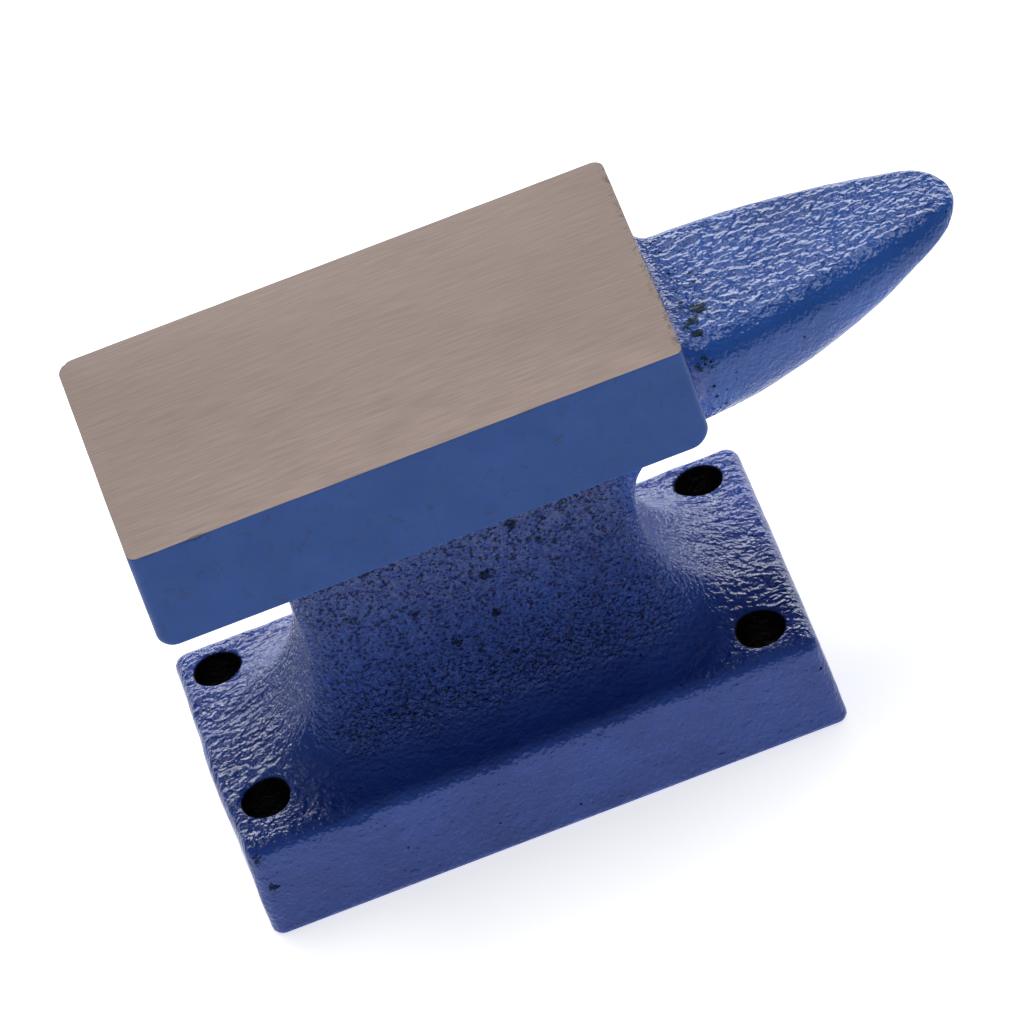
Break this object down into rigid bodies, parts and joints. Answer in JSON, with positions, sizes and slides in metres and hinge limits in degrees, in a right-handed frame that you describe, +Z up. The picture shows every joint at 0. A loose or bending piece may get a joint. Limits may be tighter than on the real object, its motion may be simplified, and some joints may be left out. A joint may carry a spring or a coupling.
{
  "type": "bench anvil",
  "caption": "Small bench anvil: rectangular ground face, round-bellied horn with a flat top, narrow waist, and a foot with screw holes.",
  "frame": {"origin": "centre of the foot's underside", "axes": "+X towards the horn, +Y to the back, +Z up out of the working face"},
  "size_m": [0.0875, 0.034, 0.051],
  "materials": {
    "cast_enamel": "glossy blue enamel over rough cast iron",
    "smooth_enamel": "satin blue enamel over a machined block",
    "ground_steel": "bare surface-ground steel with fine lengthwise scratches"
  },
  "bodies": {
    "root": {"base_casting": "cast_enamel", "head_block": "smooth_enamel", "face_plate": "ground_steel", "horn": "cast_enamel"}
  },
  "joints": []
}
